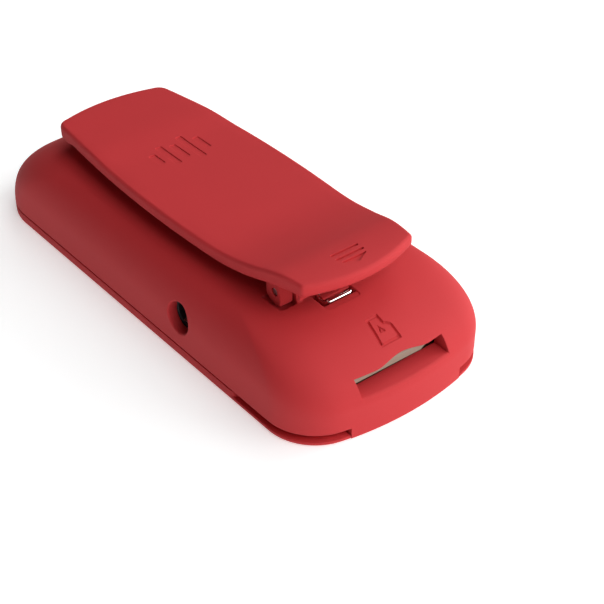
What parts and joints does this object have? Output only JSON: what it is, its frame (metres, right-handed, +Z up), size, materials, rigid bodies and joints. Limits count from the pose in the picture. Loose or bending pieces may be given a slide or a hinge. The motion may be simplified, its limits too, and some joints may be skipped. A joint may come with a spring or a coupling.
{
  "type": "clip-on digital audio player",
  "caption": "Small clip-on digital audio player with a crowned back cover, sprung clip, card slot, headphone jack, charging port, display and press keys.",
  "frame": {"origin": "on the resting plane, under the centre of the player's body", "axes": "+X across the player with the headphone jack on the -X side, +Y along it away from the card slot, +Z up from the front face through the clip"},
  "size_m": [0.0272, 0.0658, 0.0148],
  "materials": {
    "soft_touch_red": "soft-touch rubbery paint on moulded plastic, fine matt grain",
    "spring_steel": "bright drawn spring steel",
    "screw_steel": "zinc plated machine screw",
    "switch_metal": "pressed stainless dome",
    "key_plastic": "satin black moulded keys",
    "board_laminate": "green solder resist on glass laminate",
    "battery_pouch": "aluminium laminated pouch film",
    "black_foam": "black adhesive foam",
    "red_insulation": "red wire insulation",
    "black_insulation": "black wire insulation",
    "chip_resin": "black moulding compound",
    "nickel_plate": "dull nickel-plated sheet metal",
    "window_acrylic": "smoked black acrylic window",
    "display_glass": "dark display glass",
    "polyimide_film": "amber polyimide flat cable",
    "socket_plastic": "black connector plastic",
    "gold_contact": "gold-plated leaf contact",
    "beige_resin": "beige connector resin"
  },
  "bodies": {
    "player": {"back_cover": "soft_touch_red", "front_cover": "soft_touch_red", "hinge_pin": "spring_steel", "hinge_spring": "spring_steel", "circuit_board": "board_laminate", "battery": "battery_pouch", "battery_tape": "black_foam", "battery_board": "board_laminate", "battery_lead_red": "red_insulation", "battery_lead_black": "black_insulation", "main_chip": "chip_resin", "memory_chip": "chip_resin", "tuner_chip": "chip_resin", "crystal": "nickel_plate", "display_window": "window_acrylic", "display_panel": "display_glass", "display_frame": "black_foam", "display_flex": "polyimide_film", "jack_housing": "socket_plastic", "jack_contact": "gold_contact", "usb_shell": "nickel_plate", "usb_tongue": "socket_plastic", "hold_switch": "socket_plastic", "card_socket_shell": "nickel_plate", "card_socket_base": "beige_resin", "card_guide": "beige_resin", "card_spring": "spring_steel", "play_switch": "switch_metal", "menu_switch": "switch_metal", "next_switch": "switch_metal", "previous_switch": "switch_metal", "louder_switch": "switch_metal", "softer_switch": "switch_metal", "board_screw_1": "screw_steel", "board_screw_2": "screw_steel", "board_screw_3": "screw_steel", "board_screw_4": "screw_steel"},
    "clip": {"clip": "soft_touch_red"},
    "hold_knob": {"hold_knob": "key_plastic"},
    "card_slider": {"card_slider": "socket_plastic"},
    "play_key": {"play_key": "key_plastic"},
    "menu_key": {"menu_key": "key_plastic"},
    "next_key": {"next_key": "key_plastic"},
    "previous_key": {"previous_key": "key_plastic"},
    "louder_key": {"louder_key": "key_plastic"},
    "softer_key": {"softer_key": "key_plastic"}
  },
  "joints": [
    {"name": "clip_hinge", "type": "hinge", "parent": "player", "child": "clip", "pos_m": [0, -0.0189, 0.01115], "axis": [1, 0, 0], "range_deg": [0, 30], "stiffness_Nm_per_rad": 0.03, "springref_deg": -57.3, "deforming": ["hinge_spring"]},
    {"name": "hold_slide", "type": "slide", "parent": "player", "child": "hold_knob", "axis": [0, 1, 0], "range_m": [0, 0.002]},
    {"name": "card_slide", "type": "slide", "parent": "player", "child": "card_slider", "axis": [0, 1, 0], "range_m": [0, 0.0009], "stiffness_N_per_m": 300, "springref_m": -0.001, "deforming": ["card_spring"]},
    {"name": "play_press", "type": "slide", "parent": "player", "child": "play_key", "axis": [0, 0, 1], "range_m": [0, 0.00025], "stiffness_N_per_m": 400, "springref_m": -0.0005},
    {"name": "menu_press", "type": "slide", "parent": "player", "child": "menu_key", "axis": [0, 0, 1], "range_m": [0, 0.00025], "stiffness_N_per_m": 400, "springref_m": -0.0005},
    {"name": "next_press", "type": "slide", "parent": "player", "child": "next_key", "axis": [0, 0, 1], "range_m": [0, 0.00025], "stiffness_N_per_m": 400, "springref_m": -0.0005},
    {"name": "previous_press", "type": "slide", "parent": "player", "child": "previous_key", "axis": [0, 0, 1], "range_m": [0, 0.00025], "stiffness_N_per_m": 400, "springref_m": -0.0005},
    {"name": "louder_press", "type": "slide", "parent": "player", "child": "louder_key", "axis": [0, 0, 1], "range_m": [0, 0.00025], "stiffness_N_per_m": 400, "springref_m": -0.0005},
    {"name": "softer_press", "type": "slide", "parent": "player", "child": "softer_key", "axis": [0, 0, 1], "range_m": [0, 0.00025], "stiffness_N_per_m": 400, "springref_m": -0.0005}
  ]
}
